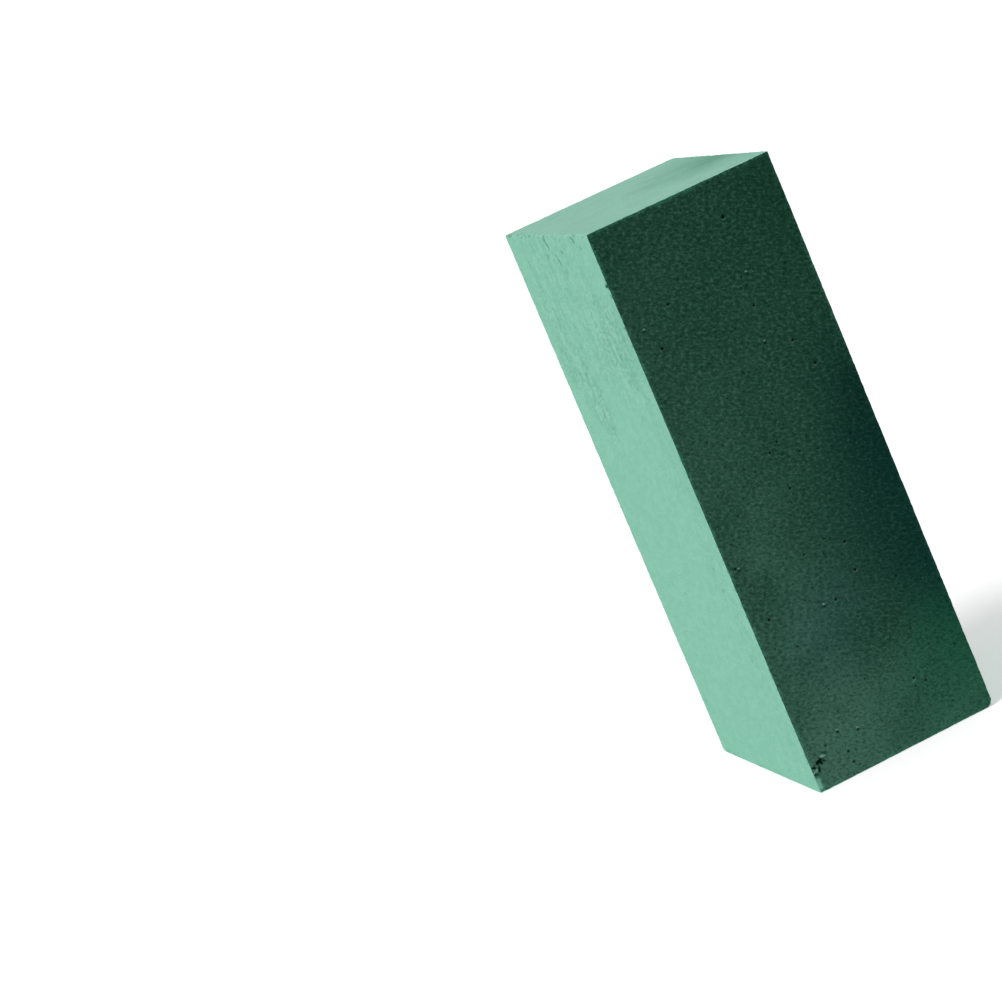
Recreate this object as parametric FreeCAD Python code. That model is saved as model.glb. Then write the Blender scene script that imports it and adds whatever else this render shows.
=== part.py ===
import FreeCAD, Part
import os

from FreeCAD import Vector

# A floral foam brick: a block of light, rigid phenolic foam, sawn to size from a larger bun.
# It is one piece of one material with nothing inside it, so it is one solid.
# Millimetres. The brick stands on one of its small ends, and Z runs up its length.
# The origin is the middle of that end. -Y is the front, and -X is the left.
# The two narrow long sides, -Y and +Y, are sawn across the foam's cells.
# The two broad faces, -X and +X, and the two ends are sawn along the cells.

# The sawn block
THICKNESS = 77.0  # X, from broad face to broad face
WIDTH = 110.0  # Y, from narrow side to narrow side
LENGTH = 230.0  # Z, from end to end

# What handling takes off every sawn edge, as a radius
EDGE_WEAR = 0.6

# The corner that is broken off, at the front, the right and the base
CORNER_LOSS_X = 2.9
CORNER_LOSS_Y = 3.2
CORNER_LOSS_Z = 2.8

# The gouge in the front side, close to its left edge: a hollow, and a nick that opens the edge
HOLLOW_FROM_EDGE = 4.0
HOLLOW_ABOVE_BASE = 9.8
HOLLOW_MOUTH = 5.0
HOLLOW_DEPTH = 2.4
NICK_FROM_EDGE = 1.4
NICK_ABOVE_BASE = 7.8
NICK_MOUTH = 3.4
NICK_DEPTH = 1.3


def sawn_block():
    """The block as it leaves the saw, standing with the middle of its base at the origin."""
    corner = Vector(-THICKNESS / 2, -WIDTH / 2, 0)
    return Part.makeBox(THICKNESS, WIDTH, LENGTH, corner)


def wear_edges(block):
    """Round all twelve edges by the same small radius."""
    return block.makeFillet(EDGE_WEAR, block.Edges)


def corner_chip():
    """The three-sided chip that broke off: the corner, and a point along each of its edges."""
    corner = Vector(THICKNESS / 2, -WIDTH / 2, 0)
    along_x = corner + Vector(-CORNER_LOSS_X, 0, 0)
    along_y = corner + Vector(0, CORNER_LOSS_Y, 0)
    along_z = corner + Vector(0, 0, CORNER_LOSS_Z)
    triangles = [
        (corner, along_y, along_x),
        (corner, along_z, along_y),
        (corner, along_x, along_z),
        (along_x, along_y, along_z),
    ]
    faces = [Part.Face(Part.makePolygon([a, b, c, a])) for a, b, c in triangles]
    return Part.makeSolid(Part.makeShell(faces))


def scoop(from_edge, above_base, mouth, depth):
    """A ball, stretched so that it cuts a round dish of this mouth and depth into the front side."""
    stretch = FreeCAD.Matrix()
    stretch.scale(mouth / 2, depth, mouth / 2)
    stretch.move(Vector(-THICKNESS / 2 + from_edge, -WIDTH / 2, above_base))
    return Part.makeSphere(1).transformGeometry(stretch)


def gouge():
    """The torn place in the front side: a hollow joined to a nick in the left edge."""
    hollow = scoop(HOLLOW_FROM_EDGE, HOLLOW_ABOVE_BASE, HOLLOW_MOUTH, HOLLOW_DEPTH)
    nick = scoop(NICK_FROM_EDGE, NICK_ABOVE_BASE, NICK_MOUTH, NICK_DEPTH)
    return hollow.fuse(nick)


def foam_block():
    """The whole brick: sawn, worn along its edges, chipped at a corner and gouged."""
    worn = wear_edges(sawn_block())
    chipped = worn.cut(corner_chip())
    return chipped.cut(gouge())


def save(name, shape):
    """Write one piece as a STEP file and print what it is."""
    solid = shape.Solids[0]
    if len(shape.Solids) != 1 or not solid.isValid():
        raise ValueError(f"{name} is not one valid solid")
    solid.exportStep(f"parts/{name}.step")
    box = solid.optimalBoundingBox()
    size = f"{box.XLength:.2f} x {box.YLength:.2f} x {box.ZLength:.2f} mm"
    print(f"{name}: {size}, {solid.Volume / 1000:.1f} cm3, {len(solid.Faces)} faces")


os.makedirs("parts", exist_ok=True)
save("foam_block", foam_block())
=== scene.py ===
# %% [markdown]
# # A floral foam brick
# Florists push stems into this block. It is stiff phenolic foam that rose as a big bun in a
# mould, and a saw cut the brick out of it. It is one piece of one material, yet it has two
# looks. The foam's cells grew in one direction, as wood grain does. The two narrow long sides
# cut across them, so the cells are open there and swallow the light: dark green, and their
# colour is darkened further by painted shade. The broad faces and the ends run along them,
# and foam dust fills what is open: pale mint.
#
# The imported CAD model is the frame. Everything below takes its size and place from it.

import itertools
import math

import bpy
import numpy as np
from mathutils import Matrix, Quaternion, Vector


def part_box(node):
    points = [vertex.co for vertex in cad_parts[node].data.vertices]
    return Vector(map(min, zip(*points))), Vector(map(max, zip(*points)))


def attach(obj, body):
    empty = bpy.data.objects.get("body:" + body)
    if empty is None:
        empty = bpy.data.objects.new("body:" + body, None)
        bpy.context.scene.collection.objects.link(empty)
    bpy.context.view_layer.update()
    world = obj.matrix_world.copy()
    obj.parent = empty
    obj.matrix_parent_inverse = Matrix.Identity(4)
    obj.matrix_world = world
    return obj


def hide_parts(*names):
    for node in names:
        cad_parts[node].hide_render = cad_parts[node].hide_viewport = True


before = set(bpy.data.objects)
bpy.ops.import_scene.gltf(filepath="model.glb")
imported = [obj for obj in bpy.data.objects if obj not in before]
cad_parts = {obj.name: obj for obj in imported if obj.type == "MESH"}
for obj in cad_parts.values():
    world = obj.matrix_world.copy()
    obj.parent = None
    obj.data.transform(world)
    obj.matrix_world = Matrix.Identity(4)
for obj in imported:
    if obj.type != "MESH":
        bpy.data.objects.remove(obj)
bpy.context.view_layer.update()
MM = 0.001  # metres in a millimetre; the numbers below are in millimetres

low, high = (np.array(corner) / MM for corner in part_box("foam_block"))
half = (high - low) / 2
middle = (high + low) / 2
print("brick, mm:", np.round(high - low, 2))

# %% [markdown]
# ## The camera
# A long lens from far off keeps the brick's edges nearly parallel, as product pictures have
# them. The camera is rolled, so the brick leans to the left in the picture although it stands
# upright on its end. It aims at a point beside the brick, which leaves room on the left.

# %% Set up the camera
LENS_MM = 120.7
CAMERA_TURN = math.radians(-12.54)
CAMERA_RISE = math.radians(10.30)
CAMERA_ROLL = math.radians(23.39)
CAMERA_DISTANCE = 1.2834  # metres
AIM_LEFT, AIM_UP = 94.9, 144.3  # how far left of the brick's middle, and how far up from its base
AIM = Vector((middle[0] - AIM_LEFT, middle[1], low[2] + AIM_UP)) * MM


def make_camera():
    """A camera on a sphere round the aim, looking at it, then rolled about its own axis."""
    flat_reach = math.cos(CAMERA_RISE)
    outward = Vector((
        math.sin(CAMERA_TURN) * flat_reach,
        -math.cos(CAMERA_TURN) * flat_reach,
        math.sin(CAMERA_RISE),
    ))
    camera = bpy.data.objects.new("camera", bpy.data.cameras.new("camera"))
    camera.data.lens = LENS_MM
    camera.location = AIM + outward * CAMERA_DISTANCE
    camera.rotation_mode = "QUATERNION"
    level = (-outward).to_track_quat("-Z", "Y")
    camera.rotation_quaternion = level @ Quaternion((0, 0, 1), -CAMERA_ROLL)
    bpy.context.scene.collection.objects.link(camera)
    bpy.context.scene.camera = camera
    return camera


camera = make_camera()
print("camera at, m:", [round(value, 3) for value in camera.location])

# %% [markdown]
# ## Tools for nodes
# A finish, or a sky, is a small network of nodes. These helpers keep each one readable: one
# adds a node and plugs its inputs, and the others are the few sums that the networks use again
# and again. Every finish reads the place of a point on the brick itself, so its pattern is cut
# through the block and runs on unbroken from one side to the next.

# %% Node helpers
def plug(tree, node, inputs):
    """Set a node's inputs by name or number: a socket is linked and anything else is a value."""
    for key, value in inputs.items():
        if isinstance(value, bpy.types.NodeSocket):
            tree.links.new(value, node.inputs[key])
        else:
            node.inputs[key].default_value = value
    return node


def add(tree, kind, inputs=None, **settings):
    """A new node of this kind with these settings and inputs."""
    node = tree.nodes.new("ShaderNode" + kind)
    for key, value in settings.items():
        setattr(node, key, value)
    return plug(tree, node, inputs or {})


def sum_of(tree, operation, first, second):
    """What a Math node makes of two numbers."""
    return add(tree, "Math", {0: first, 1: second}, operation=operation).outputs[0]


def times(tree, first, second):
    """The product of two numbers."""
    return sum_of(tree, "MULTIPLY", first, second)


def plus(tree, first, second):
    """The first number and the second added up."""
    return sum_of(tree, "ADD", first, second)


def vectors(tree, operation, *inputs):
    """What a Vector Math node makes of one, two or three vectors."""
    return add(tree, "VectorMath", dict(enumerate(inputs)), operation=operation).outputs[0]


def between(tree, value, start, end, low_value=0.0, high_value=1.0):
    """low_value at start, high_value at end, an S-curve between, and level beyond them."""
    inputs = {"Value": value, "From Min": start, "From Max": end, "To Min": low_value, "To Max": high_value}
    return add(tree, "MapRange", inputs, interpolation_type="SMOOTHSTEP").outputs["Result"]


MIX_UNDER, MIX_OVER, MIX_COLOR = 6, 7, 2  # a Mix node's two colour inputs and its colour output


def lay(tree, color, layers):
    """Lay colours on a first one. Each layer is a mask, how much of it to use, and a colour."""
    for mask, amount, over in layers:
        under = color if isinstance(color, bpy.types.NodeSocket) else (*color, 1)
        inputs = {0: times(tree, mask, amount), MIX_UNDER: under, MIX_OVER: (*over, 1)}
        color = add(tree, "Mix", inputs, data_type="RGBA").outputs[MIX_COLOR]
    return color


def noise(tree, position, size_mm, detail=2.0, roughness=0.5):
    """Noise from about 0 to 1 whose lumps are this many millimetres across."""
    inputs = {"Vector": position, "Scale": 1 / (size_mm * MM), "Detail": detail, "Roughness": roughness}
    return add(tree, "TexNoise", inputs).outputs[0]


NOISE_RANGE = (0.3, 0.7)  # noise seldom leaves this range


def stored(tree, name):
    """A number that is kept on the skin's points."""
    return add(tree, "Attribute", attribute_name=name).outputs["Fac"]


def start_group(name, inputs, outputs):
    """An empty node group with these sockets. Gives the group, its inputs and its output node."""
    group = bpy.data.node_groups.new(name, "ShaderNodeTree")
    for label, default in inputs.items():
        kind = "NodeSocketVector" if isinstance(default, tuple) else "NodeSocketFloat"
        socket = group.interface.new_socket(label, in_out="INPUT", socket_type=kind)
        socket.default_value = default
    for label in outputs:
        group.interface.new_socket(label, in_out="OUTPUT", socket_type="NodeSocketFloat")
    entry = group.nodes.new("NodeGroupInput").outputs
    return group, entry, group.nodes.new("NodeGroupOutput")


def use(tree, group, **inputs):
    """Place a group in a finish. Input names have underscores for spaces."""
    node = tree.nodes.new("ShaderNodeGroup")
    node.node_tree = group
    plug(tree, node, {key.replace("_", " "): value for key, value in inputs.items()})
    return node.outputs


print("node helpers are ready")

# %% [markdown]
# ## The studio
# A pale floor, a pale sky all round it and one soft lamp from the upper left. The sky gives
# most of the light. The lamp rakes across the dark front side, which is what makes small pits
# in it show. The floor is a sheet of white paper that is also lit from below, as on a light
# table, so the brick's shadow stays faint. The camera sees the sky as plain white, so the floor
# has no horizon.

# %% Make the floor, the sky and the lamp
FLOOR_HALF_SIZE = 40.0  # metres
FLOOR_PAPER = (0.80, 0.80, 0.80, 1)
WHITE = (1, 1, 1, 1)
FLOOR_GLOW = 0.30
SKY_LIGHT = 0.52
LAMP_STRENGTH = 1.8
LAMP_SOFTNESS = math.radians(20)
LAMP_DIRECTION = Vector((0.40, 0.14, -0.91))


def link(name, data):
    """Put new data into the scene as an object."""
    made = bpy.data.objects.new(name, data)
    bpy.context.scene.collection.objects.link(made)
    return made


def make_floor(z):
    """One big square at height z."""
    reach = FLOOR_HALF_SIZE
    corners = [(-reach, -reach, z), (reach, -reach, z), (reach, reach, z), (-reach, reach, z)]
    mesh = bpy.data.meshes.new("floor")
    mesh.from_pydata(corners, [], [(0, 1, 2, 3)])
    paper = bpy.data.materials.new("floor_paper")
    paper.use_nodes = True
    tree = paper.node_tree
    plug(tree, tree.nodes["Principled BSDF"], {
        "Base Color": FLOOR_PAPER,
        "Emission Color": WHITE,
        "Emission Strength": FLOOR_GLOW,
        "Roughness": 1.0,
        "Specular IOR Level": 0.0,
    })
    mesh.materials.append(paper)
    return link("floor", mesh)


def make_sky():
    """White to the camera, and a softer even light for everything else."""
    world = bpy.data.worlds.new("studio")
    world.use_nodes = True
    tree = world.node_tree
    tree.nodes.clear()
    lighting = add(tree, "Background", {"Color": WHITE, "Strength": SKY_LIGHT}).outputs[0]
    seen = add(tree, "Background", {"Color": WHITE}).outputs[0]
    by_camera = add(tree, "LightPath").outputs["Is Camera Ray"]
    sky = add(tree, "MixShader", {0: by_camera, 1: lighting, 2: seen}).outputs[0]
    add(tree, "OutputWorld", {"Surface": sky})
    bpy.context.scene.world = world


def make_lamp():
    """A sun lamp with a wide disc, so that its shadows are soft and its light is even."""
    lamp = bpy.data.lights.new("lamp", "SUN")
    lamp.energy = LAMP_STRENGTH
    lamp.angle = LAMP_SOFTNESS
    made = link("lamp", lamp)
    made.rotation_mode = "QUATERNION"
    made.rotation_quaternion = LAMP_DIRECTION.to_track_quat("-Z", "Y")


bpy.context.scene.view_settings.view_transform = "Standard"
floor = make_floor(low[2] * MM)
make_sky()
make_lamp()
print("floor, sky and lamp are in place")

# %% [markdown]
# ## Random numbers that vary smoothly
# Broken foam is uneven at every size. One helper gives an uneven value at any point in space,
# and every piece of damage below asks it how rough to be. It is seeded, so it repeats.

# %% Value noise
LATTICE = 64
# the seed of each kind of unevenness
SEEDS = {"pits": 11, "scuffs": 17, "waves": 21, "grain": 25, "crumbs": 31, "dents": 43,
         "outline": 51, "torn": 55, "worn": 57, "chip": 61}


def uneven(points, size, seed):
    """Smooth noise from -1 to 1 at each point.

    Random numbers sit on a cubic lattice with this spacing, one number or one per axis.
    A point mixes the eight around it, each weighted along every axis by t or 1 - t after
    the curve 3t^2 - 2t^3.
    """
    table = np.random.default_rng(seed).uniform(-1, 1, (LATTICE, LATTICE, LATTICE))
    place = points / size
    cell = np.floor(place).astype(int)
    t = place - cell
    t = t * t * (3 - 2 * t)
    total = np.zeros(len(points))
    for corner in itertools.product((0, 1), repeat=3):
        weight = np.where(corner, t, 1 - t).prod(axis=1)
        i, j, k = ((cell + corner) % LATTICE).T
        total += weight * table[i, j, k]
    return total


def rough(points, size, seed, layers=3):
    """Noise on noise: each layer is half as large and half as strong as the one before."""
    strengths = 0.5 ** np.arange(layers)
    total = sum(s * uneven(points, size * s, seed + i) for i, s in enumerate(strengths))
    return total / strengths.sum()


def ramp(values, start, end):
    """0 at start, 1 at end, and an S-curve between."""
    t = np.clip((values - start) / (end - start), 0, 1)
    return t * t * (3 - 2 * t)


sample = rough(np.random.default_rng(1).uniform(0, 50, (2000, 3)), 4.0, seed=1)
print("noise runs from", round(sample.min(), 2), "to", round(sample.max(), 2))

# %% [markdown]
# ## The block as one closed skin
# The skin is a single closed mesh, so no side can gape from its neighbour. A box of grid lines
# gives it: only the points on the outside of the grid are kept, and each is shared by the
# sides that meet there. Lines crowd together at the edges, where the skin has to turn.
# Six loose planes would be simpler, but their edges would show as open slits.

# %% Grid lines along each axis
# The broad faces are smooth, so cells may be longer across them, along Y.
CELL = np.array([1.15, 2.0, 1.15])
EDGE_RADIUS = 0.6
FIRST_TURN = math.radians(22.5)  # a quarter of the way round an edge
TURN_LINE = EDGE_RADIUS * (1 - math.tan(FIRST_TURN))  # how far from an edge a point turns that much


def grid_lines(start, end, cell):
    """Positions from start to end: three close together at each end, and even between."""
    count = round((end - start - 2 * EDGE_RADIUS) / cell)
    even = np.linspace(start + EDGE_RADIUS, end - EDGE_RADIUS, count + 1)
    return np.concatenate([[start, start + TURN_LINE], even, [end - TURN_LINE, end]])


lines = [grid_lines(low[axis], high[axis], CELL[axis]) for axis in range(3)]
print("grid lines:", [len(line) for line in lines])

# %% The outside of the grid, as a table of point numbers for each side
SIDES = ["left", "right", "front", "back", "base", "top"]
ACROSS = {"left": 0, "right": 0, "front": 1, "back": 1, "base": 2, "top": 2}
# Rows then columns turn anticlockwise, seen from outside, on these sides. The others are flipped.
UNFLIPPED = {"right", "front", "top"}


def box_shell(lines):
    """Points on the outside of the grid, and each side's table of point numbers."""
    shape = tuple(len(line) for line in lines)
    outside = np.zeros(shape, bool)
    for axis in range(3):
        np.moveaxis(outside, axis, 0)[[0, -1]] = True
    number = np.full(shape, -1)
    number[outside] = np.arange(outside.sum())
    points = np.stack(np.meshgrid(*lines, indexing="ij"), axis=-1)[outside]
    tables = [number[0], number[-1], number[:, 0], number[:, -1], number[..., 0], number[..., -1]]
    return points, dict(zip(SIDES, tables))


def quads(table):
    """The four-cornered faces between neighbouring rows and columns of a table."""
    corners = [table[:-1, :-1], table[1:, :-1], table[1:, 1:], table[:-1, 1:]]
    return np.stack(corners, axis=-1)


shell, tables = box_shell(lines)
print("shell:", len(shell), "points")

# %% [markdown]
# ## Where the brick is damaged
# A lump was torn out of the front near the lower left corner, its left edge is worn from there
# to the base, a few nicks sit higher up, and the lower right front corner is chipped. The
# damage is described here first, because the pits keep off it and the mesh is made finer
# there. A place is given by how far in it is from the left edge of the front and how far up
# from the base. The count runs on round the edge onto the left side as a negative number, so
# one description covers both sides.

# %% Describe the torn places
# each hollow: in from the left edge, up from the base, half length, half width, lean, depth
HOLLOWS = [
    (4.3, 11.5, 1.8, 0.80, 22, 2.4),
    (5.0, 10.6, 1.0, 0.60, 105, 1.6),
    (6.3, 11.0, 1.0, 0.45, 135, 1.0),
    (3.4, 9.0, 1.6, 0.55, 80, 1.2),
    (1.3, 10.1, 1.0, 0.58, 145, 1.5),
    (1.3, 7.2, 1.0, 0.58, 160, 1.4),
    # the next hollow lies along a dark arc of shade above a lip, and its dark is painted shade by its depth
    (7.3, 13.9, 1.5, 0.42, 152, 0.7),
    (9.0, 15.9, 0.6, 0.50, 0, 0.8),
]
# each nick in the left edge and each hook near the top edge, in the same way
NICKS = [
    (-0.8, 209.0, 1.4, 0.9, 80, 0.7),
    (-0.6, 205.0, 1.1, 0.7, 95, 0.6),
    (-0.5, 192.0, 1.3, 0.8, 85, 0.7),
    (-0.8, 185.0, 1.0, 0.6, 70, 0.6),
    (-57.0, 226.5, 3.4, 1.3, 118, 0.8),
    (-49.0, 219.5, 3.2, 1.2, 118, 0.7),
    (-40.5, 223.0, 1.6, 0.9, 140, 0.5),
    (-20.5, 227.6, 2.6, 1.1, 140, 0.6),
    (-14.0, 224.5, 1.8, 0.8, 130, 0.5),
]
# each lip of foam still standing beside a hollow, with its height in place of a depth
LIPS = [
    (6.3, 12.9, 1.6, 0.55, 168, 0.55),
    (1.4, 8.6, 1.6, 0.52, 25, 0.50),
    (0.6, 5.3, 1.0, 0.50, 55, 0.30),
    (2.5, 13.0, 1.4, 0.80, 60, 0.12),
]
# the half length, half width, lean and height of a crumb, and those of the hole below it, with a depth
CRUMB_SHAPE, HOLE_SHAPE = (0.75, 0.42, 158, 0.35), (0.70, 0.50, 158, 0.9)
HOLE_BELOW = 1.0
# each crumb of foam left standing over a small hole: in from the left edge, and up from the base
CRUMBS = [
    (47.6, 166.2), (6.5, 189.2), (51.4, 192.6), (23.3, 16.8), (15.4, 19.6), (4.4, 92.4), (29.6, 65.6),
]
LIPS += [(across, up, *CRUMB_SHAPE) for across, up in CRUMBS]
NICKS += [(across, up - HOLE_BELOW, *HOLE_SHAPE) for across, up in CRUMBS]
TEAR_MARGIN = 1.3
CORNER_FADE = (0.5, 2.5)  # how far behind both sides the damage starts to fade, and is gone
CHIP_CORNER = np.array([high[0], low[1], low[2]])
CHIP_LOSS = np.array([2.9, 3.2, 2.8])
CHIP_REACH = 6.0


def front_place(points):
    """In from the left edge, round it if need be; up from the base; and 1 on those two sides.

    The last number fades to 0 away from the front and the left side.
    """
    in_from_left = points[:, 0] - low[0]
    back_from_front = points[:, 1] - low[1]
    here = 1 - ramp(np.minimum(in_from_left, back_from_front), *CORNER_FADE)
    return in_from_left - back_from_front, points[:, 2] - low[2], here


def oval(points, across, up, half_length, half_width, lean):
    """0 at an oval's middle and 1 on its outline, for points given by front_place."""
    place_across, place_up, _ = front_place(points)
    turn = math.radians(lean)
    along = (place_across - across) * math.cos(turn) + (place_up - up) * math.sin(turn)
    beside = (place_up - up) * math.cos(turn) - (place_across - across) * math.sin(turn)
    return np.hypot(along / half_length, beside / half_width)


def near_tear(points):
    """True within a small margin of any hollow, nick or lip."""
    across, up, here = front_place(points)
    near = np.zeros(len(points), bool)
    for place_across, place_up, half_length, *_ in HOLLOWS + NICKS + LIPS:
        away = np.hypot(across - place_across, up - place_up)
        near |= away < half_length + TEAR_MARGIN
    return near & (here > 0)


def near_chip(points):
    """True close to the lower right front corner."""
    return np.linalg.norm(points - CHIP_CORNER, axis=1) < CHIP_REACH


print("points near the damage:", int((near_tear(shell) | near_chip(shell)).sum()))

# %% [markdown]
# ## Where crumbs were dragged
# The saw dragged crumbs along the broad faces and left them scuffed in a few places, while the
# rest stayed smooth. Each scuffed place is a soft oval. Pits and dents crowd there, and the
# finish is darker there, so this one function serves the shape and the colour alike.

# %% Scuffed places on the broad faces
# each: behind the front edge, up from the base, half width, half height, and how scuffed it is
SCUFFS = {
    "left": [
        (20.0, 186.0, 24.0, 30.0, 0.8),
        (75.0, 164.0, 14.0, 26.0, 0.8),
        (92.0, 190.0, 15.0, 36.0, 0.6),
        (50.0, 176.0, 22.0, 13.0, 0.5),
        (55.0, 200.0, 62.0, 48.0, 0.4),
        (13.0, 85.0, 13.0, 80.0, 0.3),
    ],
    "right": [
        (68.0, 58.0, 20.0, 36.0, 0.9),
        (28.0, 150.0, 17.0, 32.0, 0.7),
        (95.0, 130.0, 13.0, 80.0, 0.3),
    ],
}


SCUFF_RAGGED, SCUFF_LUMPS = 0.5, 9.0
SCUFF_FADE, SCUFF_TURN = (0.4, 1.15), (0.5, 1.5)  # across an oval's outline, and round an edge


def scuffed(points):
    """How scuffed each point is, from 0 to 1: the most that any oval on its side says."""
    amount = np.zeros(len(points))
    ragged = SCUFF_RAGGED * rough(points, SCUFF_LUMPS, SEEDS["scuffs"])
    for side, inward in (("left", points[:, 0] - low[0]), ("right", high[0] - points[:, 0])):
        on_side = 1 - ramp(inward, *SCUFF_TURN)
        for behind, up, half_width, half_height, strength in SCUFFS[side]:
            beside = (points[:, 1] - low[1] - behind) / half_width
            above = (points[:, 2] - low[2] - up) / half_height
            inside = 1 - ramp(np.hypot(beside, above) + ragged, *SCUFF_FADE)
            amount = np.maximum(amount, strength * inside * on_side)
    return amount


print("scuffed points:", int((scuffed(shell) > 0.3).sum()))

# %% [markdown]
# ## Pits
# Where the saw crosses a large cell it leaves a pit. Each pit is real. The four faces round a
# grid point are taken out, rings of eight points make its rim and its wall, and the grid point
# itself drops to be its bottom. A displaced grid could only make pits two cells wide; rings
# make them as small and round as they are. Small pits do without the ring on the wall.

# %% Choose the pits of one side
PIT_EDGE_MARGIN = 4
PIT_CLUSTER_SIZE = 9.0
MOSTLY_SMALL = 2.5  # the power that makes small pits common and large ones rare
RIM_ANGLES = np.radians(np.arange(8) * 45.0 - 135.0)
# for each kind of side: the share of places that hold a pit, the same where it is scuffed, and
# the smallest and largest radius
PITS = {"cut across": (0.075, 0.0, 0.24, 0.50), "cut along": (0.010, 0.14, 0.28, 0.66)}
# the largest pits of the front, which stand out: right of the left edge, up from the base, radius
FRONT_PITS = [
    (50.0, 214.0, 0.95), (20.0, 194.0, 0.66), (48.0, 181.0, 0.66), (9.2, 180.0, 0.72),
    (59.0, 162.0, 0.68), (61.5, 149.5, 0.72), (36.5, 129.0, 0.66), (32.5, 126.5, 0.61),
    (34.0, 111.0, 0.66), (3.6, 92.5, 0.66), (45.5, 84.5, 0.68), (47.0, 71.0, 0.77),
    (8.2, 69.5, 0.79), (34.5, 64.5, 0.66), (59.5, 63.5, 0.61), (50.5, 23.0, 0.66),
    (55.0, 21.8, 0.61), (17.0, 9.8, 0.68), (17.3, 4.6, 0.79),
]
# from the rim inwards: each ring's share of the pit's radius and of its depth
SMALL_PIT = [(1.0, -0.16)]
LARGE_PIT = [(1.0, -0.16), (0.68, 0.70)]
LARGE_FROM = 0.44
DEPTH_TO_RADIUS = (0.9, 1.5)
WANDER, PIT_ROOM = 0.85, 0.92  # how much of the room beside it a pit may use, and of its cells
RIM_LEAN = 0.9  # how much prouder a rim stands on its lower side than on its upper side
ROUNDNESS = (0.80, 1.15)


def pit_kind(side):
    """The front and back are cut across the cells, and the other sides along them."""
    return "cut across" if ACROSS[side] == 1 else "cut along"


def choose_pits(side, random):
    """Rows, columns and radii of the pits: some of every second grid point, off the damage."""
    table = tables[side]
    rows, columns = (np.arange(PIT_EDGE_MARGIN, size - PIT_EDGE_MARGIN, 2) for size in table.shape)
    row, column = (grid.ravel() for grid in np.meshgrid(rows, columns, indexing="ij"))
    points = shell[table[row, column]]
    plain, where_scuffed, smallest, largest = PITS[pit_kind(side)]
    share = plain * (1 + uneven(points, PIT_CLUSTER_SIZE, SEEDS["pits"])) + where_scuffed * scuffed(points)
    keep = (random.random(len(row)) < share) & ~near_tear(points) & ~near_chip(points)
    row, column = row[keep], column[keep]
    return row, column, smallest + (largest - smallest) * random.random(len(row)) ** MOSTLY_SMALL


def place_pits(row, column, radii):
    """Put each of the front's largest pits on the nearest row and column that pits may use."""
    place_across, _, place_up = np.moveaxis(shell[tables["front"]] - low, -1, 0)
    for across, up, radius in FRONT_PITS:
        away = np.hypot(place_across - across, place_up - up)
        away[1::2] = away[:, 1::2] = np.inf
        nearest = np.unravel_index(np.argmin(away), away.shape)
        others = (row != nearest[0]) | (column != nearest[1])
        row, column = np.append(row[others], nearest[0]), np.append(column[others], nearest[1])
        radii = np.append(radii[others], radius)
    return row, column, radii


def band(outer, inner):
    """Quads between two rings with the same number of points."""
    corners = [outer, np.roll(outer, -1, 1), np.roll(inner, -1, 1), inner]
    return np.stack(corners, axis=-1).reshape(-1, 4)


def fan(ring, middles):
    """Triangles from a ring to the point in its middle."""
    centre = np.repeat(middles[:, None], ring.shape[1], axis=1)
    return np.stack([ring, np.roll(ring, -1, 1), centre], axis=-1).reshape(-1, 3)


print("pits that stand out on the front:", len(FRONT_PITS))

# %% Put the pits into the skin
AROUND = [(-1, -1), (0, -1), (1, -1), (1, 0), (1, 1), (0, 1), (-1, 1), (-1, 0)]
flat, lift = [shell.copy()], [np.zeros(len(shell))]  # points, and how far each stands proud
faces = []  # each entry: an array of faces, and the number of the side that they are on


def add_points(points, heights):
    """Append points to the skin and return their numbers."""
    first = sum(len(part) for part in flat)
    flat.append(points.reshape(-1, 3))
    lift.append(heights.ravel())
    return first + np.arange(heights.size).reshape(heights.shape)


def sink_pits(side, profile, row, column, radii, random):
    """Replace the faces round each chosen point with rings that follow the profile.

    Ring point k of a pit is its middle plus the ring's radius times (cos, sin) of rim angle k,
    each direction at a slightly uneven length. Its height is minus the ring's share of depth. On
    a rim, which stands proud, that is times 1 minus RIM_LEAN times the sine.
    """
    table = tables[side]
    axes = [axis for axis in range(3) if axis != ACROSS[side]]
    bottoms = table[row, column]
    room = CELL[axes] * PIT_ROOM - radii[:, None]
    middles = shell[bottoms].copy()
    middles[:, axes] += room * random.uniform(-WANDER, WANDER, (len(row), 2))
    reach = radii[:, None] * random.uniform(*ROUNDNESS, (len(row), len(RIM_ANGLES)))
    depth = radii * random.uniform(*DEPTH_TO_RADIUS, len(row))
    outer = np.stack([table[row + dr, column + dc] for dr, dc in AROUND], axis=1)
    fours = []
    for share, sunk in profile:
        ring = np.repeat(middles[:, None, :], len(RIM_ANGLES), axis=1)
        ring[..., axes[0]] += share * reach * np.cos(RIM_ANGLES)
        ring[..., axes[1]] += share * reach * np.sin(RIM_ANGLES)
        rise = 1 - RIM_LEAN * np.sin(RIM_ANGLES) * (sunk < 0)
        inner = add_points(ring, -sunk * depth[:, None] * rise)
        fours.append(band(outer, inner))
        outer = inner
    flat[0][bottoms] = middles
    lift[0][bottoms] = -depth
    return np.concatenate(fours), fan(outer, bottoms)


def pitted_side(side, random):
    """Add the faces of one side to the list: what is left of its grid, and its pits."""
    row, column, radii = choose_pits(side, random)
    if side == "front":
        row, column, radii = place_pits(row, column, radii)
    cells = quads(tables[side])
    kept = np.ones(cells.shape[:2], bool)
    for dr, dc in [(-1, -1), (-1, 0), (0, -1), (0, 0)]:
        kept[row + dr, column + dc] = False
    made = [cells[kept]]
    large = radii >= LARGE_FROM
    for profile, these in [(SMALL_PIT, ~large), (LARGE_PIT, large)]:
        made += sink_pits(side, profile, row[these], column[these], radii[these], random)
    step = 1 if side in UNFLIPPED else -1
    faces.extend((part[:, ::step], SIDES.index(side)) for part in made)
    print(f"{side}: {len(row)} pits, {int(large.sum())} of them large")


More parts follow.
